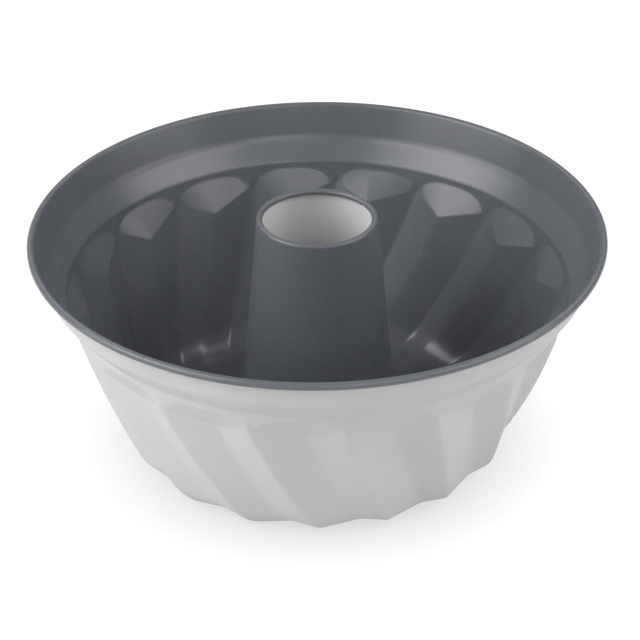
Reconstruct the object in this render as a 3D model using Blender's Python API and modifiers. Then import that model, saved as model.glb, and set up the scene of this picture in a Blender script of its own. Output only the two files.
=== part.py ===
"""Fluted tube pan: a pressed steel ring mould with seventeen swirled flutes and a rolled centre tube.

Metres, +Z up. The origin is on the table, in the middle of the pan.
Both pieces are bent from thin coated sheet: light lacquer outside, dark non-stick coat on the cake's side.
Each is laid out as the middle surface of its sheet and thickened at the end.
"""

from math import acos, atan2, cos, pi, radians, sin

import bmesh
import bpy
from mathutils import Vector

# The sheet, and the gap that is left where two layers touch
SHEET = 0.0005
SEAT_GAP = 0.0003

# The rolled rim: its outermost radius, the height of its top above the table, and the radius of the roll
RIM_RADIUS = 0.113
PAN_HEIGHT = 0.0950
RIM_ROLL_RADIUS = 0.00135

# The skirt below the rim, as steps inwards and drops: an upper band, a flatter lower band and an upright neck
UPPER_BAND_STEP = 0.0065
UPPER_BAND_DROP = 0.0139
LOWER_BAND_STEP = 0.0071
LOWER_BAND_DROP = 0.0083
LEDGE_FILLET = 0.0020
NECK_STEP = 0.0005
NECK_DROP = 0.0026

# The flutes: their number, where the first crest stands, and the wide face's share of one flute
FLUTES = 17
FIRST_CREST = radians(169.6)
WIDE_FACE_SHARE = 0.61

# The crests start below the neck and a little inside it, at the foot of small upright flats
CREST_STEP = 0.0007
CREST_DROP = 0.0055
CREST_FLAT = 0.0009

# The neck's lower edge arches over the grooves: the higher this power, the flatter the arch and the squarer its ends
ARCH_POWER = 4

# The wall's lean from upright where the flutes start and where the bottom corner starts, and that corner
WALL_LEAN_TOP = radians(17.3)
WALL_LEAN_FOOT = radians(23.5)
BOTTOM_CORNER_RADIUS = 0.0176

# The grooves between the crests: how deep they are, and how far below the crests' tops they begin
GROOVE_DEPTH_TOP = 0.0049
GROOVE_DEPTH_FOOT = 0.0021
GROOVE_START = 0.0086

# The swirl from the flutes' tops to the bottom, and what it would be at the pace with which it starts
SWIRL = radians(19.7)
SWIRL_AT_FIRST_PACE = radians(10.8)

# The floor: the flat ring that the pan rests on, and the width of the slope from it up to the tube's collar
LAND_WIDTH = 0.008
HUB_WIDTH = 0.0095
HUB_FILLET = 0.0030

# The tube: its outside radius at the mouth and the foot, how far it stands above the rim, and its bead
TUBE_MOUTH_RADIUS = 0.0238
TUBE_FOOT_RADIUS = 0.0323
TUBE_STAND_UP = 0.0053
TUBE_BEAD_RADIUS = 0.00125

# The tube's lap seam: where its outer edge is, the gap between its layers, and its width in strips of the tube
SEAM_DIRECTION = radians(28)
LAP_GAP = 0.0001
TUBE_STRIPS = 40
LAP_STRIPS = 2

# The folded joint under the floor: the floor's collar, its bend, and how far the fold clears the table
COLLAR_LENGTH = 0.0022
COLLAR_BEND_RADIUS = 0.0010
FOLD_CLEARANCE = 0.0010

PITCH = 2 * pi / FLUTES
HALF_SHEET = SHEET / 2


def make_material(name, colour, roughness, metallic):
    """Makes a Principled material with one plain finish."""
    material = bpy.data.materials.new(name)
    material.use_nodes = True
    shader = material.node_tree.nodes["Principled BSDF"]
    shader.inputs["Base Color"].default_value = (*colour, 1.0)
    shader.inputs["Roughness"].default_value = roughness
    shader.inputs["Metallic"].default_value = metallic
    material.diffuse_color = (*colour, 1.0)
    return material


def arc(centre, radius, start, end, steps):
    """Lists (radius, height) points along an arc of a profile, both ends included."""
    angles = [start + (end - start) * i / steps for i in range(steps + 1)]
    return [(centre[0] + radius * cos(a), centre[1] + radius * sin(a)) for a in angles]


def fillet(before, corner, after, radius, steps):
    """Rounds one corner of a profile with an arc that touches both of its sides."""
    corner = Vector(corner)
    to_before = (Vector(before) - corner).normalized()
    to_after = (Vector(after) - corner).normalized()
    half_angle = acos(max(-1.0, min(1.0, to_before.dot(to_after)))) / 2
    centre = corner + (to_before + to_after).normalized() * radius / sin(half_angle)
    reach = radius * cos(half_angle) / sin(half_angle)
    start = corner + to_before * reach - centre
    end = corner + to_after * reach - centre
    start_angle = atan2(start.y, start.x)
    sweep = (atan2(end.y, end.x) - start_angle + pi) % (2 * pi) - pi
    return arc(centre, radius, start_angle, start_angle + sweep, steps)


def sheet_object(name, rows, closed, finishes, collection):
    """Skins rows of points, then gives the surface its thickness. The first finish is on the normals' side."""
    mesh = bpy.data.meshes.new(name)
    shell = bmesh.new()
    grid = [[shell.verts.new(point) for point in row] for row in rows]
    columns = len(rows[0])
    for upper, lower in zip(grid[:-1], grid[1:]):
        for i in range(columns if closed else columns - 1):
            j = (i + 1) % columns
            shell.faces.new((upper[i], lower[i], lower[j], upper[j]))
    shell.to_mesh(mesh)
    shell.free()
    for finish in finishes:
        mesh.materials.append(finish)
    mesh.shade_smooth()
    mesh.set_sharp_from_angle(angle=radians(25))
    piece = bpy.data.objects.new(name, mesh)
    collection.objects.link(piece)
    thicken = piece.modifiers.new("sheet thickness", "SOLIDIFY")
    thicken.thickness = SHEET
    thicken.offset = 0
    thicken.use_even_offset = True
    thicken.material_offset = 1
    return piece


# Directions of the columns within one flute, as shares of it: three strips on the wide face, two on the narrow
WIDE_STRIPS = 3
NARROW_STRIPS = 2
STRIP_SHARES = [WIDE_FACE_SHARE * i / WIDE_STRIPS for i in range(WIDE_STRIPS)]
STRIP_SHARES += [WIDE_FACE_SHARE + (1 - WIDE_FACE_SHARE) * i / NARROW_STRIPS for i in range(NARROW_STRIPS)]


def on_axis(radius, height, direction):
    """Places a profile's point in space, seen in that direction from the axis."""
    return Vector((radius * cos(direction), radius * sin(direction), height))


def turned_row(radius, height, turn=0.0):
    """One round row of the body, with a point for each column."""
    directions = [FIRST_CREST + PITCH * (flute + share) + turn for flute in range(FLUTES) for share in STRIP_SHARES]
    return [on_axis(radius, height, direction) for direction in directions]


def rim_and_skirt():
    """The profile from the roll's free edge, over the roll and down the two bands to the neck."""
    roll_centre = Vector((RIM_RADIUS - RIM_ROLL_RADIUS, PAN_HEIGHT - RIM_ROLL_RADIUS))
    roll_radius = RIM_ROLL_RADIUS - HALF_SHEET
    crease = Vector((RIM_RADIUS - UPPER_BAND_STEP, PAN_HEIGHT - UPPER_BAND_DROP))
    ledge = crease - Vector((LOWER_BAND_STEP, LOWER_BAND_DROP))
    neck = ledge - Vector((NECK_STEP, NECK_DROP))
    # The upper band leaves the roll along a tangent on its inner side
    to_crease = crease - roll_centre
    tangent = atan2(to_crease.y, to_crease.x) - acos(roll_radius / to_crease.length) + 2 * pi
    # The roll stops where its free edge would touch the band
    open_angle = acos(1 - (SHEET + SEAT_GAP) / roll_radius)
    roll = arc(roll_centre, roll_radius, tangent - 2 * pi + open_angle, tangent, 7)
    return roll + [tuple(crease)] + fillet(crease, ledge, neck, LEDGE_FILLET, 2), neck


class FlutedWall:
    """The path of a crest down the wall, round the bottom corner and along the floor, and the groove beside it."""

    def __init__(self, top, floor_height, land_radius):
        self.top = top
        self.floor_height = floor_height
        corner_start = floor_height + BOTTOM_CORNER_RADIUS * (1 - sin(WALL_LEAN_FOOT))
        self.bow_radius = (top.y - corner_start) / (sin(WALL_LEAN_FOOT) - sin(WALL_LEAN_TOP))
        self.wall_length = self.bow_radius * (WALL_LEAN_FOOT - WALL_LEAN_TOP)
        self.foot = self.wall_length + BOTTOM_CORNER_RADIUS * (pi / 2 - WALL_LEAN_FOOT)
        wall_end = top.x - self.bow_radius * (cos(WALL_LEAN_TOP) - cos(WALL_LEAN_FOOT))
        self.foot_radius = wall_end - BOTTOM_CORNER_RADIUS * cos(WALL_LEAN_FOOT)
        self.end = self.foot + self.foot_radius - land_radius

    def crest(self, distance):
        """Radius, height and lean of the crest at this distance down it."""
        if distance < self.wall_length:
            lean = WALL_LEAN_TOP + distance / self.bow_radius
            radius = self.top.x - self.bow_radius * (cos(WALL_LEAN_TOP) - cos(lean))
            return radius, self.top.y - self.bow_radius * (sin(lean) - sin(WALL_LEAN_TOP)), lean
        if distance < self.foot:
            lean = WALL_LEAN_FOOT + (distance - self.wall_length) / BOTTOM_CORNER_RADIUS
            height = self.floor_height + BOTTOM_CORNER_RADIUS * (1 - sin(lean))
            return self.foot_radius + BOTTOM_CORNER_RADIUS * cos(lean), height, lean
        return self.foot_radius - (distance - self.foot), self.floor_height, pi / 2

    def groove(self, distance):
        """Radius and height of the groove's bottom, which starts lower, gets shallower and dies out on the floor."""
        left = max(0.0, 1 - distance / self.foot)
        radius, height, lean = self.crest(distance + GROOVE_START * left)
        if distance < self.foot:
            depth = GROOVE_DEPTH_FOOT + (GROOVE_DEPTH_TOP - GROOVE_DEPTH_FOOT) * left
        else:
            depth = GROOVE_DEPTH_FOOT * (self.end - distance) / (self.end - self.foot)
        return radius - depth * cos(lean), height + depth * sin(lean)

    def swirl(self, distance):
        """How far the flutes have turned at this distance down them."""
        share = distance / self.foot
        return SWIRL_AT_FIRST_PACE * share + (SWIRL - SWIRL_AT_FIRST_PACE) * share ** 2

    def row(self, distance):
        """One row round the wall, straight from each crest to its grooves."""
        turn = FIRST_CREST + self.swirl(distance)
        radius, height, _ = self.crest(distance)
        crests = [on_axis(radius, height, turn + PITCH * flute) for flute in range(FLUTES)]
        radius, height = self.groove(distance)
        grooves = [on_axis(radius, height, turn + PITCH * (flute + WIDE_FACE_SHARE)) for flute in range(FLUTES)]
        points = []
        for flute in range(FLUTES):
            next_crest = crests[(flute + 1) % FLUTES]
            points += [crests[flute].lerp(grooves[flute], i / WIDE_STRIPS) for i in range(WIDE_STRIPS)]
            points += [grooves[flute].lerp(next_crest, i / NARROW_STRIPS) for i in range(NARROW_STRIPS)]
        return points


def scalloped_row(neck, crest_top):
    """The neck's lower edge: an arch over each groove that comes down to the flat above each crest."""
    points = []
    for flute in range(FLUTES):
        for share in STRIP_SHARES:
            from_groove = share - WIDE_FACE_SHARE
            half_width = WIDE_FACE_SHARE if from_groove < 0 else 1 - WIDE_FACE_SHARE
            drop = abs(from_groove / half_width) ** ARCH_POWER
            edge = Vector(neck).lerp(Vector((crest_top.x, crest_top.y + CREST_FLAT)), drop)
            points.append(on_axis(edge.x, edge.y, FIRST_CREST + PITCH * (flute + share)))
    return points


def floor_and_collar(land_radius):
    """The profile from the flat ring, up the hub's slope and down the collar that holds the tube."""
    collar_radius = TUBE_FOOT_RADIUS + SEAT_GAP + HALF_SHEET
    collar_foot = fold_centre_height()
    bend_centre = (collar_radius + COLLAR_BEND_RADIUS, collar_foot + COLLAR_LENGTH)
    hub_top = (bend_centre[0], bend_centre[1] + COLLAR_BEND_RADIUS)
    hub_foot = (collar_radius + HUB_WIDTH, HALF_SHEET)
    slope = fillet((land_radius, HALF_SHEET), hub_foot, hub_top, HUB_FILLET, 2)
    bend = arc(bend_centre, COLLAR_BEND_RADIUS, pi / 2, pi, 3)
    return slope + bend + [(collar_radius, collar_foot)]


def fold_centre_height():
    """Height of the centre about which the tube's edge is folded up round the collar."""
    return FOLD_CLEARANCE + HALF_SHEET + SHEET + SEAT_GAP


def make_pan_body(collection, finishes):
    """The pressed body, with its rolled rim, swirled flutes, flat resting ring and collar."""
    land_radius = TUBE_FOOT_RADIUS + SEAT_GAP + HALF_SHEET + HUB_WIDTH + LAND_WIDTH
    skirt, neck = rim_and_skirt()
    crest_top = neck - Vector((CREST_STEP, CREST_DROP))
    wall = FlutedWall(crest_top, HALF_SHEET, land_radius)
    rows = [turned_row(radius, height) for radius, height in skirt]
    arch = scalloped_row(neck, crest_top)
    first = wall.row(0)
    rows.append(arch)
    rows.append([upper.lerp(lower, 0.5) for upper, lower in zip(arch, first)])
    rows += [wall.row(wall.wall_length * i / 6) for i in range(7)]
    rows += [wall.row(wall.wall_length + (wall.foot - wall.wall_length) * i / 4) for i in range(1, 5)]
    rows.append(wall.row((wall.foot + wall.end) / 2))
    turn = wall.swirl(wall.end)
    rows.append(turned_row(land_radius, HALF_SHEET, turn))
    rows += [turned_row(radius, height, turn) for radius, height in floor_and_collar(land_radius)]
    return sheet_object("pan_body", rows, True, finishes, collection)


def tube_profile():
    """The tube's profile from the bead's free edge, over the bead, down the cone and up round the collar."""
    bead_radius = TUBE_BEAD_RADIUS - HALF_SHEET
    bead_centre = Vector((TUBE_MOUTH_RADIUS - TUBE_BEAD_RADIUS, PAN_HEIGHT + TUBE_STAND_UP - TUBE_BEAD_RADIUS))
    cone_foot = Vector((TUBE_FOOT_RADIUS - HALF_SHEET, fold_centre_height() + COLLAR_LENGTH + COLLAR_BEND_RADIUS))
    # The cone meets the bead along a tangent on its outer side
    to_foot = cone_foot - bead_centre
    tangent = atan2(to_foot.y, to_foot.x) + acos(bead_radius / to_foot.length)
    open_angle = acos(1 - (SHEET + SEAT_GAP) / bead_radius)
    bead = arc(bead_centre, bead_radius, tangent + 2 * pi - open_angle, tangent, 8)
    fold_radius = SHEET + SEAT_GAP
    fold_centre = (cone_foot.x + fold_radius, fold_centre_height())
    fold = arc(fold_centre, fold_radius, pi, 2 * pi, 5)
    hook_end = (fold_centre[0] + fold_radius, fold_centre[1] + COLLAR_LENGTH - SEAT_GAP)
    return bead + [tuple(cone_foot)] + fold + [hook_end]


def inner_sides(profile):
    """Unit directions across a profile, towards the tube's bore."""
    sides = []
    for i in range(len(profile)):
        before = Vector(profile[max(i - 1, 0)])
        after = Vector(profile[min(i + 1, len(profile) - 1)])
        along = (after - before).normalized()
        sides.append(Vector((along.y, -along.x)))
    return sides


def make_centre_tube(collection, finishes):
    """The tube, rolled clockwise from its outer edge, with its last strips inside the first ones as a lap seam."""
    profile = tube_profile()
    sides = inner_sides(profile)
    rows = []
    for (radius, height), side in zip(profile, sides):
        row = []
        for strip in reversed(range(TUBE_STRIPS + LAP_STRIPS + 1)):
            inwards = SHEET + LAP_GAP if strip >= TUBE_STRIPS else 0
            place = Vector((radius, height)) + side * inwards
            row.append(on_axis(place.x, place.y, SEAM_DIRECTION - 2 * pi * strip / TUBE_STRIPS))
        rows.append(row)
    return sheet_object("centre_tube", rows, False, finishes, collection)


for leftover in list(bpy.data.objects):
    bpy.data.objects.remove(leftover)

pan = bpy.data.collections.new("fluted tube pan")
bpy.context.scene.collection.children.link(pan)
outer_lacquer = make_material("light grey lacquer", (0.55, 0.55, 0.56), 0.42, 0.2)
nonstick_coat = make_material("dark non-stick coat", (0.075, 0.080, 0.088), 0.38, 0.1)
make_pan_body(pan, [outer_lacquer, nonstick_coat])
make_centre_tube(pan, [nonstick_coat, outer_lacquer])
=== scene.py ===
"""Looks of the fluted tube pan: its two pressed and rolled sheets, their coats, the studio and the camera.

Metres, +Z up, in the CAD's frame. The pan stands on the table at z = 0 and is seen along +Y, from above.
"""

from math import acos, atan2, cos, pi, radians, sin

import bpy
from mathutils import Matrix, Vector


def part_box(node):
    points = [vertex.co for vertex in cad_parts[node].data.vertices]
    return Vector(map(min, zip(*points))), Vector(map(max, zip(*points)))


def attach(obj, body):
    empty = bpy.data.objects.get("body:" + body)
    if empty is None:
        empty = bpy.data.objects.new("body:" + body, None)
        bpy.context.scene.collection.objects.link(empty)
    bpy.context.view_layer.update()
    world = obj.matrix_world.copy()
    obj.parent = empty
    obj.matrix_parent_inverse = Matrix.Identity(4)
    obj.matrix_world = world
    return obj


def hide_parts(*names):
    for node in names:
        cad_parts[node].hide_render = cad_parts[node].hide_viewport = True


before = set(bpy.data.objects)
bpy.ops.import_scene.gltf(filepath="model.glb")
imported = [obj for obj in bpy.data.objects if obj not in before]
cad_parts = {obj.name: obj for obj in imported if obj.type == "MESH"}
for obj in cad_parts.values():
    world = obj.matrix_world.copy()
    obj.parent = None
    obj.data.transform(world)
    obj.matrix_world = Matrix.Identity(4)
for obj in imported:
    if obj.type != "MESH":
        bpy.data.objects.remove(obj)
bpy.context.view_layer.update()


# Camera: where the photograph was taken from, found by fitting the rim, the flutes and the tube.
# It is a long lens about 0.9 m away, 31 degrees above the table, held a touch off level.
AIM = Vector((0.0008, 0.0, 0.0529))
CAMERA_DISTANCE = 0.9340
CAMERA_HEIGHT_ANGLE = radians(31.34)
CAMERA_ROLL = radians(-0.53)
LENS_MM = 131.4
SENSOR_MM = 36.0
CLIP_START = 0.05

camera_data = bpy.data.cameras.new("photograph")
camera_data.sensor_width = SENSOR_MM
camera_data.lens = LENS_MM
camera_data.clip_start = CLIP_START
camera = bpy.data.objects.new("photograph", camera_data)
bpy.context.scene.collection.objects.link(camera)
look_back = Vector((0.0, -cos(CAMERA_HEIGHT_ANGLE), sin(CAMERA_HEIGHT_ANGLE)))
camera_place = Matrix.Translation(AIM + look_back * CAMERA_DISTANCE)
level = look_back.to_track_quat("Z", "Y").to_matrix().to_4x4()
camera.matrix_world = camera_place @ level @ Matrix.Rotation(CAMERA_ROLL, 4, "Z")
bpy.context.scene.camera = camera
bpy.context.scene.view_settings.view_transform = "Standard"


# Studio: a matt white table, a backdrop that is white to the camera and grey in reflections, broad soft boxes
# to the left and right, and small ones at the left, in front and behind. The table is seen nearly as pure
# white, with a trace of the lamps' shadow and a soft painted shade close to the pan.
TABLE_SIZE = 6.0
TABLE_WHITE = 0.88
TABLE_SEEN_PAINT = 0.08
TABLE_SEEN_WHITE = 1.07
TABLE_SHADE = (0.66, 0.645, 0.63, 1)
WHITE = (1, 1, 1, 1)
SHADE_REACH = 0.031
SHADE_SAMPLES = 16
BACKDROP_GREY = 0.35
LAMP_DISTANCE = 1.4


class Wire:
    """One output of a node. Sums on it add Math or Vector Math nodes, and Wire.node adds any other node."""

    def __init__(self, tree, socket):
        self.tree = tree
        self.socket = socket

    @classmethod
    def node(cls, tree, kind, settings=None, inputs=None, output=0):
        """Adds a node with its settings, then fills its sockets with values or wires."""
        made = tree.nodes.new(kind)
        for name, value in (settings or {}).items():
            setattr(made, name, value)
        for name, value in (inputs or {}).items():
            for part in value if isinstance(value, list) else [value]:
                if isinstance(part, Wire):
                    tree.links.new(part.socket, made.inputs[name])
                else:
                    made.inputs[name].default_value = part
        return cls(tree, made.outputs[output])

    def also(self, output):
        """Another output of the same node."""
        return Wire(self.tree, self.socket.node.outputs[output])

    def math(self, operation, *others):
        values = dict(enumerate((self, *others)))
        return Wire.node(self.tree, "ShaderNodeMath", {"operation": operation}, values)

    def vector_math(self, operation, inputs, output=0):
        inputs = {0: self, **inputs}
        return Wire.node(self.tree, "ShaderNodeVectorMath", {"operation": operation}, inputs, output)

    def is_vector(self):
        return self.socket.type == "VECTOR"

    def __add__(self, other):
        return self.vector_math("ADD", {1: other}) if self.is_vector() else self.math("ADD", other)

    def __sub__(self, other):
        return self.vector_math("SUBTRACT", {1: other}) if self.is_vector() else self.math("SUBTRACT", other)

    def __rsub__(self, other):
        return self * -1 + other

    def __mul__(self, other):
        if self.is_vector():
            return self.vector_math("SCALE", {"Scale": other})
        return self.math("MULTIPLY", other)

    def __truediv__(self, other):
        return self.math("DIVIDE", other)

    def __pow__(self, power):
        return self.math("POWER", power)

    def sin(self):
        return self.math("SINE")

    def cos(self):
        return self.math("COSINE")

    def clamp(self, low, high):
        return self.math("MAXIMUM", low).math("MINIMUM", high)

    def eased(self):
        """Turns a steady 0 to 1 into one that starts and stops gently."""
        return self * self * (self * -2 + 3)

    def towards(self, other, share):
        """A vector that share of the way from this one to the other. A Mix node takes vectors at 4 and 5."""
        inputs = {0: share, 4: self, 5: other}
        return Wire.node(self.tree, "ShaderNodeMix", {"data_type": "VECTOR"}, inputs, 1)

    def blend(self, first, second):
        """A colour this share of the way between two others. A Mix node takes colours at 6 and 7."""
        inputs = {0: self, 6: first, 7: second}
        return Wire.node(self.tree, "ShaderNodeMix", {"data_type": "RGBA"}, inputs, 2)


def new_material(name):
    """An empty node material, and its output node."""
    material = bpy.data.materials.new(name)
    material.use_nodes = True
    material.node_tree.nodes.clear()
    return material, material.node_tree.nodes.new("ShaderNodeOutputMaterial")


def mirrored(ray):
    """1 for rays that come by way of a glossy or clear surface, and 0 for the others."""
    return (ray.also("Is Glossy Ray") + ray.also("Is Transmission Ray")).clamp(0, 1)


def white_table_material():
    """White paint for the rays that carry light, and mostly a glow for those that are seen or mirrored."""
    material, end = new_material("white table")
    tree = material.node_tree
    paint_colour = (TABLE_WHITE, TABLE_WHITE, TABLE_WHITE, 1)
    paint = Wire.node(tree, "ShaderNodeBsdfDiffuse", None, {"Color": paint_colour})
    search = {"Distance": SHADE_REACH}
    # Ambient occlusion darkens the table's glow near the pan: a painted shade, not a shadow from the lamps.
    openness = Wire.node(tree, "ShaderNodeAmbientOcclusion", {"samples": SHADE_SAMPLES}, search).also("AO")
    shade = openness.blend(TABLE_SHADE, WHITE)
    glow = Wire.node(tree, "ShaderNodeEmission", None, {"Color": shade, "Strength": TABLE_SEEN_WHITE})
    ray = Wire.node(tree, "ShaderNodeLightPath")
    seen = (ray.also("Is Camera Ray") + mirrored(ray)).clamp(0, 1)
    shares = {0: seen * (1 - TABLE_SEEN_PAINT), 1: paint, 2: glow}
    surface = Wire.node(tree, "ShaderNodeMixShader", None, shares)
    tree.links.new(surface.socket, end.inputs["Surface"])
    return material


table_mesh = bpy.data.meshes.new("table")
half = TABLE_SIZE / 2
corners = [(-half, -half, 0), (half, -half, 0), (half, half, 0), (-half, half, 0)]
table_mesh.from_pydata(corners, [], [(0, 1, 2, 3)])
table_mesh.materials.append(white_table_material())
table = bpy.data.objects.new("table", table_mesh)
bpy.context.scene.collection.objects.link(table)

world = bpy.data.worlds.new("studio")
world.use_nodes = True
bpy.context.scene.world = world
room = world.node_tree
room.nodes.clear()
room_ray = Wire.node(room, "ShaderNodeLightPath")
strength = (room_ray.also("Is Camera Ray") + mirrored(room_ray) * BACKDROP_GREY).clamp(0, 1)
backdrop = Wire.node(room, "ShaderNodeBackground", None, {"Color": WHITE, "Strength": strength})
room.links.new(backdrop.socket, room.nodes.new("ShaderNodeOutputWorld").inputs["Surface"])


def soft_box(name, azimuth, elevation, width, height, watts):
    """An area lamp that points at the middle of the pan from this direction, in degrees from +X and up."""
    data = bpy.data.lights.new(name, "AREA")
    data.shape = "RECTANGLE"
    data.size = width
    data.size_y = height
    data.energy = watts
    lamp = bpy.data.objects.new(name, data)
    bpy.context.scene.collection.objects.link(lamp)
    flat = cos(radians(elevation))
    away = Vector((flat * cos(radians(azimuth)), flat * sin(radians(azimuth)), sin(radians(elevation))))
    facing = away.to_track_quat("Z", "Y").to_matrix().to_4x4()
    lamp.matrix_world = Matrix.Translation(AIM + away * LAMP_DISTANCE) @ facing


soft_box("left wall box", azimuth=203, elevation=16, width=1.40, height=0.75, watts=11)
soft_box("left high box", azimuth=202, elevation=46, width=1.40, height=0.45, watts=15)
soft_box("left key", azimuth=199, elevation=33, width=0.60, height=0.50, watts=4)
soft_box("right wall box", azimuth=-18, elevation=16, width=1.12, height=0.75, watts=7.5)
soft_box("right high box", azimuth=-16, elevation=45, width=1.13, height=0.45, watts=9.5)
soft_box("front fill", azimuth=290, elevation=35, width=0.60, height=0.60, watts=3.5)
soft_box("back left box", azimuth=120, elevation=42, width=0.60, height=0.45, watts=2.5)
soft_box("back right box", azimuth=60, elevation=42, width=0.60, height=0.45, watts=2.5)


# Pan body: one sheet of 0.5 mm steel, pressed to a skirt, a ledge and seventeen swirled flutes.
# Its rim is rolled outwards and its hole is drawn to a collar. The table side has light grey lacquer,
# the cake's side and the roll have a dark non-stick coat, and the cut edges are bare steel.
body_low, body_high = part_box("pan_body")
SHEET = 0.0005
SEAT_GAP = 0.0003
BOX_MARGIN = 0.00002
RIM_RADIUS = min(body_high[0], body_high[1], -body_low[0], -body_low[1]) - BOX_MARGIN
PAN_HEIGHT = body_high[2] - BOX_MARGIN

# Skirt, from the rim inwards: each band steps in and drops by this much.
RIM_ROLL_RADIUS = 0.0015
UPPER_BAND_STEP = 0.0069
UPPER_BAND_DROP = 0.0141
LOWER_BAND_STEP = 0.0067
LOWER_BAND_DROP = 0.0081
NECK_STEP = 0.0005
NECK_DROP = 0.0026
CREASE_FILLET = 0.0120
LEDGE_FILLET = 0.0028

# Arch at the top of each flute: where it starts and ends, as shares of the way from crest to crest.
ARCH_START = 0.085
ARCH_END = 0.985
ARCH_POWER = 3.4
CREST_FLAT = 0.0009
CREST_FLAT_POWER = 6

# Flutes: the crest's path down the wall, the groove's depth beside it, and the turn from top to foot.
FLUTES = 17
FIRST_CREST = radians(169.6)
WIDE_FACE_SHARE = 0.61
CREST_STEP = 0.0007
CREST_DROP = 0.0055
WALL_LEAN_TOP = radians(17.3)
WALL_LEAN_FOOT = radians(23.5)
BOTTOM_CORNER_RADIUS = 0.0176
GROOVE_DEPTH_TOP = 0.0049
GROOVE_DEPTH_FOOT = 0.0021
GROOVE_START = 0.0086
GROOVE_ROUNDING = 0.0022
GROOVE_ROUNDING_TOP = 0.0008
TOP_RUN = 0.010
CREST_ROUNDING = 0.0013
SWIRL = radians(19.7)
SWIRL_AT_FIRST_PACE = radians(10.8)

# Floor: flat ring, slope up to the hub, and collar round the tube's foot.
LAND_WIDTH = 0.008
HUB_WIDTH = 0.0095
HUB_FILLET = 0.0030
TUBE_FOOT_RADIUS = 0.0323
COLLAR_LENGTH = 0.0022
COLLAR_BEND_RADIUS = 0.0010
FOLD_CLEARANCE = 0.0010

# Fineness of the mesh: steps round each arc, and columns and rows of each strip of a flute.
ROLL_STEPS = 20
CREASE_STEPS = 5
BEND_STEPS = 6
SKIRT_HOLD = 0.0006
FLOOR_HOLD = 0.0004
WIDE_COLUMNS = 11
NARROW_COLUMNS = 7
NECK_ROWS = 3
CAP_ROWS = 8
WALL_ROWS = 56
FIRST_ROW_PACE = 0.35
MERGE_REACH = 0.00001
SHARP_EDGE = radians(50)


def arc(centre, radius, start, end, steps):
    """Lists (radius, height) points along an arc of a profile, both ends included."""
    angles = [start + (end - start) * i / steps for i in range(steps + 1)]
    return [(centre[0] + radius * cos(a), centre[1] + radius * sin(a)) for a in angles]


def fillet(before, corner, after, radius, steps):
    """Rounds one corner of a profile with an arc that touches both of its sides."""
    corner = Vector(corner)
    to_before = (Vector(before) - corner).normalized()
    to_after = (Vector(after) - corner).normalized()
    half_angle = acos(max(-1.0, min(1.0, to_before.dot(to_after)))) / 2
    centre = corner + (to_before + to_after).normalized() * radius / sin(half_angle)
    reach = radius * cos(half_angle) / sin(half_angle)
    start = corner + to_before * reach - centre
    end = corner + to_after * reach - centre
    start_angle = atan2(start.y, start.x)
    sweep = (atan2(end.y, end.x) - start_angle + pi) % (2 * pi) - pi
    return arc(centre, radius, start_angle, start_angle + sweep, steps)


def held(points, reach):
    """Adds points near both ends of a profile's long straight stretches, so that they look straight."""
    result = [points[0]]
    for before, after in zip(points[:-1], points[1:]):
        span = Vector(after) - Vector(before)
        if span.length > 3 * reach:
            nudge = span.normalized() * reach
            result += [tuple(Vector(before) + nudge), tuple(Vector(after) - nudge)]
        result.append(after)
    return result


def profile_object(name, points):
    """An object that holds the points of a profile, for a tree to sweep round the axis."""
    mesh = bpy.data.meshes.new(name)
    mesh.from_pydata([(radius, 0, height) for radius, height in points], [], [])
    piece = bpy.data.objects.new(name, mesh)
    bpy.context.scene.collection.objects.link(piece)
    return piece


def start_tree(name, sizes):
    """A Geometry Nodes tree with one named input for each size, and the wires that these come in on."""
    tree = bpy.data.node_groups.new(name, "GeometryNodeTree")
    tree.interface.new_socket("Geometry", in_out="INPUT", socket_type="NodeSocketGeometry")
    for size, value in sizes.items():
        kind = {int: "NodeSocketInt", float: "NodeSocketFloat"}.get(type(value), "NodeSocketMaterial")
        tree.interface.new_socket(size, in_out="INPUT", socket_type=kind)
    tree.interface.new_socket("Geometry", in_out="OUTPUT", socket_type="NodeSocketGeometry")
    entry = tree.nodes.new("NodeGroupInput")
    return tree, {socket.name: Wire(tree, socket) for socket in entry.outputs if socket.name}


def run_tree(piece, tree, result, sizes):
    """Ends a tree, runs it on a piece with the given sizes, and keeps what it makes as a plain mesh."""
    end = tree.nodes.new("NodeGroupOutput")
    tree.links.new(result.socket, end.inputs["Geometry"])
    modifier = piece.modifiers.new(tree.name, "NODES")
    modifier.node_group = tree
    for item in tree.interface.items_tree:
        if item.in_out == "INPUT" and item.name in sizes:
            modifier[item.identifier] = sizes[item.name]
    evaluated = piece.evaluated_get(bpy.context.evaluated_depsgraph_get())
    piece.data = bpy.data.meshes.new_from_object(evaluated)
    piece.data.materials.pop(index=0)
    piece.modifiers.remove(modifier)


def thicken(piece, back_finishes):
    """Gives a piece's surface the sheet's thickness, with finishes for its back and its cut edges."""
    for finish in back_finishes:
        piece.data.materials.append(finish)
    solid = piece.modifiers.new("sheet thickness", "SOLIDIFY")
    solid.thickness = SHEET
    solid.offset = 0
    solid.use_even_offset = True
    solid.material_offset = 1
    solid.material_offset_rim = 2
    evaluated = piece.evaluated_get(bpy.context.evaluated_depsgraph_get())
    piece.data = bpy.data.meshes.new_from_object(evaluated)
    piece.modifiers.remove(solid)
    piece.data.shade_smooth()
    piece.data.set_sharp_from_angle(angle=SHARP_EDGE)


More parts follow.
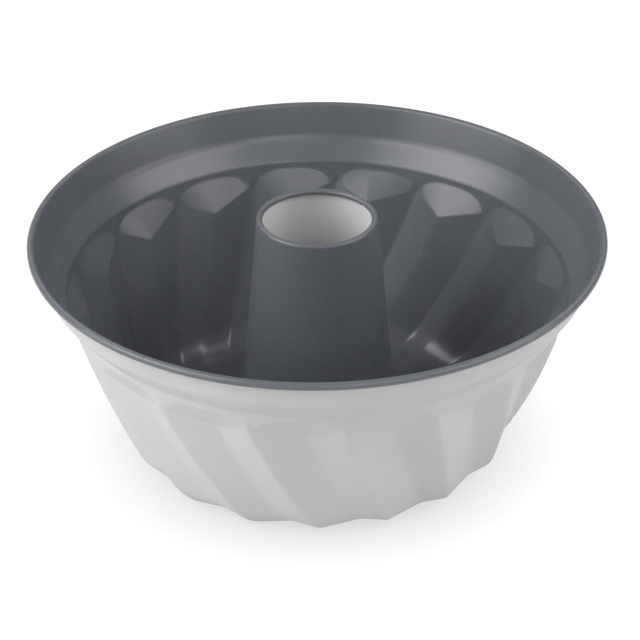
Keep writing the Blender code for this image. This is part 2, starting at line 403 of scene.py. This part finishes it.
def rim_and_skirt():
    """The profile over the roll and down the two bands to the ledge, and the point where the neck ends."""
    roll_centre = Vector((RIM_RADIUS - RIM_ROLL_RADIUS, PAN_HEIGHT - RIM_ROLL_RADIUS))
    roll_radius = RIM_ROLL_RADIUS - SHEET / 2
    crease = Vector((RIM_RADIUS - UPPER_BAND_STEP, PAN_HEIGHT - UPPER_BAND_DROP))
    ledge = crease - Vector((LOWER_BAND_STEP, LOWER_BAND_DROP))
    neck = ledge - Vector((NECK_STEP, NECK_DROP))
    to_crease = crease - roll_centre
    tangent = atan2(to_crease.y, to_crease.x) - acos(roll_radius / to_crease.length) + 2 * pi
    open_angle = acos(1 - (SHEET + SEAT_GAP) / roll_radius)
    roll = arc(roll_centre, roll_radius, tangent - 2 * pi + open_angle, tangent, ROLL_STEPS)
    upper_band = fillet(roll_centre, crease, ledge, CREASE_FILLET, CREASE_STEPS)
    lower_band = fillet(crease, ledge, neck, LEDGE_FILLET, BEND_STEPS)
    return held(roll + upper_band + lower_band, SKIRT_HOLD), neck


def floor_and_collar(land_radius):
    """The profile from the flat ring, up the hub's slope and down the collar that holds the tube."""
    collar_radius = TUBE_FOOT_RADIUS + SEAT_GAP + SHEET / 2
    collar_foot = FOLD_CLEARANCE + SHEET / 2 + SHEET + SEAT_GAP
    bend_centre = (collar_radius + COLLAR_BEND_RADIUS, collar_foot + COLLAR_LENGTH)
    hub_top = (bend_centre[0], bend_centre[1] + COLLAR_BEND_RADIUS)
    hub_foot = (collar_radius + HUB_WIDTH, SHEET / 2)
    slope = fillet((land_radius, SHEET / 2), hub_foot, hub_top, HUB_FILLET, BEND_STEPS)
    bend = arc(bend_centre, COLLAR_BEND_RADIUS, pi / 2, pi, BEND_STEPS)
    return held([(land_radius, SHEET / 2)] + slope + bend + [(collar_radius, collar_foot)], FLOOR_HOLD)


def polar(radius, height, direction):
    """The point at that radius and height, seen in that direction from the axis."""
    sides = {"X": radius * direction.cos(), "Y": radius * direction.sin(), "Z": height}
    return Wire.node(radius.tree, "ShaderNodeCombineXYZ", None, sides)


def unit(start, end):
    """The direction from one point to another."""
    return (end - start).vector_math("NORMALIZE", {})


def rounding(place, corner, one_side, other_side, reach):
    """How far a point near a sharp corner moves, so that the corner becomes a smooth bend of that reach."""
    distance = place.vector_math("DISTANCE", {1: corner}, 1)
    left = (reach - distance).math("MAXIMUM", 0)
    return (unit(corner, one_side) + unit(corner, other_side)) * (left * left / (reach * 4))


def unit_grid(tree, columns, rows):
    """A grid of one by one, and how far each of its points is across and down it, from 0 to 1."""
    size = {"Size X": 1.0, "Size Y": 1.0, "Vertices X": columns, "Vertices Y": rows}
    grid = Wire.node(tree, "GeometryNodeMeshGrid", None, size)
    place = Wire.node(tree, "ShaderNodeSeparateXYZ", None, {0: Wire.node(tree, "GeometryNodeInputPosition")})
    return grid, place.also("X") + 0.5, place.also("Y") + 0.5


class Strip:
    """A grid across one flute: columns over its wide face and its narrow face, and rows down the sheet."""

    def __init__(self, tree, rows):
        columns = WIDE_COLUMNS + NARROW_COLUMNS
        self.grid, across, self.down = unit_grid(tree, columns + 1, rows)
        column = across * columns
        self.wide = (column / WIDE_COLUMNS).clamp(0, 1).eased()
        self.narrow = ((column - WIDE_COLUMNS) / NARROW_COLUMNS).clamp(0, 1).eased()
        self.share = self.wide * WIDE_FACE_SHARE + self.narrow * (1 - WIDE_FACE_SHARE)

    def placed(self, position):
        moved = {"Geometry": self.grid, "Position": position}
        return Wire.node(self.grid.tree, "GeometryNodeSetPosition", None, moved)


def sampled(size, index):
    """The radius and height of a point of the profile that the tree is given."""
    tree = index.tree
    position = Wire.node(tree, "GeometryNodeInputPosition")
    inputs = {"Geometry": size["Geometry"], "Value": position, "Index": index}
    point = Wire.node(tree, "GeometryNodeSampleIndex", {"data_type": "FLOAT_VECTOR"}, inputs)
    return Wire.node(tree, "ShaderNodeSeparateXYZ", None, {0: point})


def swept_strip(tree, size, first, count, turn):
    """A strip that carries a stretch of the profile round the axis."""
    strip = Strip(tree, count)
    point = sampled(size, (strip.down * (count - 1)).math("ROUND") + first)
    return strip.placed(polar(point.also("X"), point.also("Z"), strip.share * size["Pitch"] + turn))


def crest_path(size, distance):
    """Radius, height and lean of a crest at this distance down it: bowed wall, bottom corner, flat floor."""
    wall = size["Wall Length"]
    foot = size["Foot"]
    wall_lean = distance.clamp(0, wall) / size["Bow Radius"] + size["Lean Top"]
    corner_lean = (distance - wall).clamp(0, foot - wall) / size["Corner Radius"] + size["Lean Foot"]
    radius = size["Crest Radius"] - size["Bow Radius"] * (size["Lean Top"].cos() - wall_lean.cos())
    radius = radius - size["Corner Radius"] * (size["Lean Foot"].cos() - corner_lean.cos())
    radius = radius - (distance - foot).math("MAXIMUM", 0)
    height = size["Crest Height"] - size["Bow Radius"] * (wall_lean.sin() - size["Lean Top"].sin())
    height = height - size["Corner Radius"] * (corner_lean.sin() - size["Lean Foot"].sin())
    return radius, height, wall_lean + corner_lean - size["Lean Foot"]


def crest_turn(size, down):
    """How far a crest has swirled at this share of its way to the foot: the swirl quickens on the way."""
    return size["First Pace"] * down + (size["Swirl"] - size["First Pace"]) * down * down


def flute_row(size, strip, distance):
    """The points across one flute at this distance down its crest, straight from crest to groove to crest."""
    pitch = size["Pitch"]
    foot = size["Foot"]
    down = distance / foot
    turn = size["First Crest"] + crest_turn(size, down)
    radius, height, _ = crest_path(size, distance)
    crest = polar(radius, height, turn)
    next_crest = polar(radius, height, turn + pitch)
    left = (1 - down).math("MAXIMUM", 0)
    on_floor = ((distance - foot) / (size["End"] - foot)).clamp(0, 1)
    deep = (size["Depth Foot"] + (size["Depth Top"] - size["Depth Foot"]) * left) * (1 - on_floor)
    groove_radius, groove_height, lean = crest_path(size, distance + size["Groove Start"] * left)
    groove_radius = groove_radius - deep * lean.cos()
    groove_height = groove_height + deep * lean.sin()
    wide = size["Wide Share"] * pitch
    groove = polar(groove_radius, groove_height, turn + wide)
    groove_before = polar(groove_radius, groove_height, turn + wide - pitch)
    groove_after = polar(groove_radius, groove_height, turn + wide + pitch)
    flat = crest.towards(groove, strip.wide).towards(next_crest, strip.narrow)
    near_top = (1 - distance / size["Top Run"]).math("MAXIMUM", 0)
    sharper = (size["Groove Rounding Top"] - size["Groove Rounding"]) * near_top
    bend = rounding(flat, groove, crest, next_crest, size["Groove Rounding"] + sharper)
    bend = bend + rounding(flat, crest, groove, groove_before, size["Crest Rounding"])
    bend = bend + rounding(flat, next_crest, groove, groove_after, size["Crest Rounding"])
    round_row = polar(radius, height, turn + strip.share * pitch)
    return (flat + bend).towards(round_row, on_floor)


skirt_profile, neck = rim_and_skirt()
land_radius = TUBE_FOOT_RADIUS + SEAT_GAP + SHEET / 2 + HUB_WIDTH + LAND_WIDTH
floor_profile = floor_and_collar(land_radius)
crest_top = neck - Vector((CREST_STEP, CREST_DROP))
corner_start = SHEET / 2 + BOTTOM_CORNER_RADIUS * (1 - sin(WALL_LEAN_FOOT))
bow_radius = (crest_top.y - corner_start) / (sin(WALL_LEAN_FOOT) - sin(WALL_LEAN_TOP))
wall_length = bow_radius * (WALL_LEAN_FOOT - WALL_LEAN_TOP)
foot = wall_length + BOTTOM_CORNER_RADIUS * (pi / 2 - WALL_LEAN_FOOT)
wall_end = crest_top.x - bow_radius * (cos(WALL_LEAN_TOP) - cos(WALL_LEAN_FOOT))
foot_radius = wall_end - BOTTOM_CORNER_RADIUS * cos(WALL_LEAN_FOOT)
body_sizes = {
    "Flutes": FLUTES,
    "Pitch": 2 * pi / FLUTES,
    "First Crest": FIRST_CREST,
    "Wide Share": WIDE_FACE_SHARE,
    "Crest Radius": crest_top.x,
    "Crest Height": crest_top.y,
    "Crest Flat": CREST_FLAT,
    "Arch Start": ARCH_START,
    "Arch End": ARCH_END,
    "Arch Power": ARCH_POWER,
    "Neck Radius": neck.x,
    "Neck Height": neck.y,
    "Lean Top": WALL_LEAN_TOP,
    "Lean Foot": WALL_LEAN_FOOT,
    "Bow Radius": bow_radius,
    "Corner Radius": BOTTOM_CORNER_RADIUS,
    "Wall Length": wall_length,
    "Foot": foot,
    "End": foot + foot_radius - land_radius,
    "Depth Top": GROOVE_DEPTH_TOP,
    "Depth Foot": GROOVE_DEPTH_FOOT,
    "Groove Start": GROOVE_START,
    "Groove Rounding": GROOVE_ROUNDING,
    "Groove Rounding Top": GROOVE_ROUNDING_TOP,
    "Crest Rounding": CREST_ROUNDING,
    "Top Run": TOP_RUN,
    "Swirl": SWIRL,
    "First Pace": SWIRL_AT_FIRST_PACE,
}


def arch_row(size, strip):
    """The neck's lower edge: an arch over the groove that comes down to the flat above each crest."""
    middle = (size["Arch Start"] + size["Arch End"]) / 2
    from_middle = (strip.share - middle).math("ABSOLUTE") / (size["Arch End"] - middle)
    drop = from_middle.clamp(0, 1) ** size["Arch Power"]
    flat_height = size["Crest Height"] + size["Crest Flat"]
    radius = size["Neck Radius"] + (size["Crest Radius"] - size["Neck Radius"]) * drop
    height = size["Neck Height"] + (flat_height - size["Neck Height"]) * drop
    arch = polar(radius, height, size["First Crest"] + strip.share * size["Pitch"])
    lift = Wire.node(radius.tree, "ShaderNodeCombineXYZ", None, {"Z": size["Crest Flat"]})
    crest_flat = flute_row(size, strip, strip.down * 0) + lift
    return arch.towards(crest_flat, drop ** CREST_FLAT_POWER)


def body_tree():
    """One flute's sector of the body, from the rim to the collar, repeated round the axis."""
    tree, size = start_tree("fluted body", body_sizes)
    first_crest = size["First Crest"]
    skirt = swept_strip(tree, size, 0, len(skirt_profile), first_crest)

    neck_strip = Strip(tree, NECK_ROWS)
    ledge_end = sampled(size, neck_strip.down * 0 + (len(skirt_profile) - 1))
    ledge_turn = first_crest + neck_strip.share * size["Pitch"]
    ledge_row = polar(ledge_end.also("X"), ledge_end.also("Z"), ledge_turn)
    neck_part = neck_strip.placed(ledge_row.towards(arch_row(size, neck_strip), neck_strip.down))

    cap_strip = Strip(tree, CAP_ROWS)
    top_row = flute_row(size, cap_strip, cap_strip.down * 0)
    caps = cap_strip.placed(arch_row(size, cap_strip).towards(top_row, cap_strip.down.eased()))

    wall_strip = Strip(tree, WALL_ROWS)
    quicker = wall_strip.down * (wall_strip.down * (1 - FIRST_ROW_PACE) + FIRST_ROW_PACE)
    wall = wall_strip.placed(flute_row(size, wall_strip, quicker * size["End"]))

    last_turn = first_crest + crest_turn(size, size["End"] / size["Foot"])
    floor = swept_strip(tree, size, len(skirt_profile), len(floor_profile), last_turn)

    parts = [skirt, neck_part, caps, wall, floor]
    sector = Wire.node(tree, "GeometryNodeJoinGeometry", None, {"Geometry": parts})
    points = Wire.node(tree, "GeometryNodeMeshLine", None, {"Count": size["Flutes"], "Offset": (0, 0, 0)})
    index = Wire.node(tree, "GeometryNodeInputIndex")
    turned = Wire.node(tree, "ShaderNodeCombineXYZ", None, {"Z": index * size["Pitch"]})
    around = {"Points": points, "Instance": sector, "Rotation": turned}
    ring = Wire.node(tree, "GeometryNodeInstanceOnPoints", None, around)
    whole = Wire.node(tree, "GeometryNodeRealizeInstances", None, {"Geometry": ring})
    merge = {"Geometry": whole, "Distance": MERGE_REACH}
    joined = Wire.node(tree, "GeometryNodeMergeByDistance", None, merge)
    faces_out = Wire.node(tree, "GeometryNodeFlipFaces", None, {"Mesh": joined})
    finished = {"Geometry": faces_out, "Material": size["Table Side"]}
    return tree, Wire.node(tree, "GeometryNodeSetMaterial", None, finished)


# Finishes: clouds of a few centimetres, orange peel of about a millimetre, and finer flecks and streaks.
CLOUDS_PER_METRE = 28.0
PEEL_PER_METRE = 900.0
GRAINS_PER_METRE = 2600.0
STREAKS_PER_METRE = 3000.0
CLOUD_LOW = 0.3
CLOUD_HIGH = 0.7
CLOUD_ROUGHNESS = 0.08
GRAIN_ROUGHNESS = 0.05
FLECK_LOW = 0.62
FLECK_RANGE = 0.2
FLECK_COLOUR = (0.5, 0.5, 0.52, 1)
STEEL_DULL = (0.42, 0.42, 0.43, 1)
STEEL_BRIGHT = (0.56, 0.56, 0.57, 1)
STEEL_ROUGHNESS = 0.3
STREAK_ROUGHNESS = 0.2
STEEL_METALLIC = 0.9
PEEL_RELIEF = 0.12
STREAK_RELIEF = 0.4
RELIEF_HEIGHT = 0.00003


def noise(place, per_metre, detail):
    """Soft random patches from 0 to 1, about that many to the metre."""
    inputs = {"Vector": place, "Scale": per_metre, "Detail": detail}
    return Wire.node(place.tree, "ShaderNodeTexNoise", None, inputs)


def relief(height, strength):
    """The bent surface direction of a fine relief with these heights."""
    inputs = {"Strength": strength, "Distance": RELIEF_HEIGHT, "Height": height}
    return Wire.node(height.tree, "ShaderNodeBump", None, inputs)


def coat_material(name, colour, tint, roughness, gloss, fleck):
    """A baked coat on steel: cloudy tone, fine flecks, a satin skin with orange peel."""
    material, end = new_material(name)
    place = Wire.node(material.node_tree, "ShaderNodeTexCoord").also("Object")
    cloud = noise(place, CLOUDS_PER_METRE, 3.0)
    grain = noise(place, GRAINS_PER_METRE, 1.0)
    clouded = (cloud.clamp(CLOUD_LOW, CLOUD_HIGH) - CLOUD_LOW) / (CLOUD_HIGH - CLOUD_LOW)
    flecked = (grain - FLECK_LOW).clamp(0, FLECK_RANGE) * fleck
    tone = clouded.blend((*colour, 1), (*tint, 1))
    shader = {
        "Base Color": flecked.blend(tone, FLECK_COLOUR),
        "Roughness": (cloud - 0.5) * CLOUD_ROUGHNESS + (grain - 0.5) * GRAIN_ROUGHNESS + roughness,
        "Specular IOR Level": gloss,
        "Normal": relief(noise(place, PEEL_PER_METRE, 2.0), PEEL_RELIEF),
    }
    surface = Wire.node(material.node_tree, "ShaderNodeBsdfPrincipled", None, shader)
    material.node_tree.links.new(surface.socket, end.inputs["Surface"])
    return material


def cut_steel_material():
    """Sheared steel edges: bright bare metal with fine streaks."""
    material, end = new_material("cut steel")
    place = Wire.node(material.node_tree, "ShaderNodeTexCoord").also("Object")
    streak = noise(place, STREAKS_PER_METRE, 2.0)
    shader = {
        "Base Color": streak.blend(STEEL_DULL, STEEL_BRIGHT),
        "Roughness": streak * STREAK_ROUGHNESS + STEEL_ROUGHNESS,
        "Metallic": STEEL_METALLIC,
        "Normal": relief(streak, STREAK_RELIEF),
    }
    surface = Wire.node(material.node_tree, "ShaderNodeBsdfPrincipled", None, shader)
    material.node_tree.links.new(surface.socket, end.inputs["Surface"])
    return material


lacquer = coat_material(
    "light grey lacquer", colour=(0.405, 0.405, 0.406), tint=(0.425, 0.425, 0.426),
    roughness=0.50, gloss=0.05, fleck=0.15)
# The bore's lacquer is the body's lacquer made lighter: painted light for the deep, dim bore.
painted_light_bore_lacquer = coat_material(
    "light grey lacquer with painted light for the bore", colour=(0.530, 0.530, 0.532), tint=(0.560, 0.560, 0.562),
    roughness=0.50, gloss=0.05, fleck=0.15)
nonstick = coat_material(
    "dark non-stick coat", colour=(0.088, 0.094, 0.105), tint=(0.098, 0.104, 0.116),
    roughness=0.28, gloss=0.32, fleck=0.4)
cut_steel = cut_steel_material()

body_sizes["Table Side"] = lacquer
pan_body = profile_object("pan_body_sheet", skirt_profile + floor_profile)
tree, whole = body_tree()
run_tree(pan_body, tree, whole, body_sizes)
thicken(pan_body, [nonstick, cut_steel])
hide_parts("pan_body")
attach(pan_body, "root")


# Centre tube: one sheet rolled to a cone, with a lap seam where its outer edge ends at the back right.
# Its top is curled inwards to a bead, and its foot is folded up round the body's collar.
# The dark coat is outside and the light lacquer in the bore, made lighter there than on the body as painted
# light for the deep bore.
_, tube_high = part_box("centre_tube")
TUBE_TOP = tube_high[2] - BOX_MARGIN
TUBE_MOUTH_RADIUS = 0.0238
TUBE_BEAD_RADIUS = 0.00125
SEAM_DIRECTION = radians(28)
LAP_GAP = 0.0001
BEAD_STEPS = 16
FOLD_STEPS = 8
TUBE_HOLD = 0.0006
TUBE_COLUMNS = 120
LAP_COLUMNS = 6
JOGGLE_COLUMNS = 4


def tube_profile():
    """The tube's profile from the bead's free edge, over the bead, down the cone and up round the collar."""
    bead_radius = TUBE_BEAD_RADIUS - SHEET / 2
    bead_centre = Vector((TUBE_MOUTH_RADIUS - TUBE_BEAD_RADIUS, TUBE_TOP - TUBE_BEAD_RADIUS))
    fold_radius = SHEET + SEAT_GAP
    fold_height = FOLD_CLEARANCE + SHEET / 2 + fold_radius
    cone_foot = Vector((TUBE_FOOT_RADIUS - SHEET / 2, fold_height + COLLAR_LENGTH + COLLAR_BEND_RADIUS))
    to_foot = cone_foot - bead_centre
    tangent = atan2(to_foot.y, to_foot.x) + acos(bead_radius / to_foot.length)
    open_angle = acos(1 - (SHEET + SEAT_GAP) / bead_radius)
    bead = arc(bead_centre, bead_radius, tangent + 2 * pi - open_angle, tangent, BEAD_STEPS)
    fold_centre = (cone_foot.x + fold_radius, fold_height)
    fold = arc(fold_centre, fold_radius, pi, 2 * pi, FOLD_STEPS)
    hook_end = (fold_centre[0] + fold_radius, fold_height + COLLAR_LENGTH - SEAT_GAP)
    return held(bead + [tuple(cone_foot)] + fold + [hook_end], TUBE_HOLD)


def inner_layer(profile):
    """The same profile for the end of the sheet that lies inside the lap."""
    points = []
    for i, point in enumerate(profile):
        before = Vector(profile[max(i - 1, 0)])
        after = Vector(profile[min(i + 1, len(profile) - 1)])
        along = (after - before).normalized()
        points.append(tuple(Vector(point) + Vector((along.y, -along.x)) * (SHEET + LAP_GAP)))
    return points


def tube_tree(rows):
    """Rolls the profile round the axis, a lap further than once, with a joggle down to the inner layer."""
    tree, size = start_tree("rolled tube", tube_sizes)
    last_column = size["Columns"] + size["Lap Columns"]
    grid, across, down = unit_grid(tree, last_column + 1, rows)
    column = across * last_column
    row = (down * (rows - 1)).math("ROUND")
    lapped = ((column - size["Columns"]) / size["Joggle Columns"] + 1).clamp(0, 1).eased()
    outside = sampled(size, row)
    inside = sampled(size, row + rows)
    radius = outside.also("X") + (inside.also("X") - outside.also("X")) * lapped
    height = outside.also("Z") + (inside.also("Z") - outside.also("Z")) * lapped
    rolled = polar(radius, height, size["Seam"] - column * (2 * pi) / size["Columns"])
    sheet = Wire.node(tree, "GeometryNodeSetPosition", None, {"Geometry": grid, "Position": rolled})
    finished = {"Geometry": sheet, "Material": size["Cake Side"]}
    return tree, Wire.node(tree, "GeometryNodeSetMaterial", None, finished)


tube_sizes = {
    "Columns": TUBE_COLUMNS,
    "Lap Columns": LAP_COLUMNS,
    "Joggle Columns": JOGGLE_COLUMNS,
    "Seam": SEAM_DIRECTION,
    "Cake Side": nonstick,
}
outer_profile = tube_profile()
centre_tube = profile_object("centre_tube_sheet", outer_profile + inner_layer(outer_profile))
tree, whole = tube_tree(len(outer_profile))
run_tree(centre_tube, tree, whole, tube_sizes)
thicken(centre_tube, [painted_light_bore_lacquer, cut_steel])
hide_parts("centre_tube")
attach(centre_tube, "root")
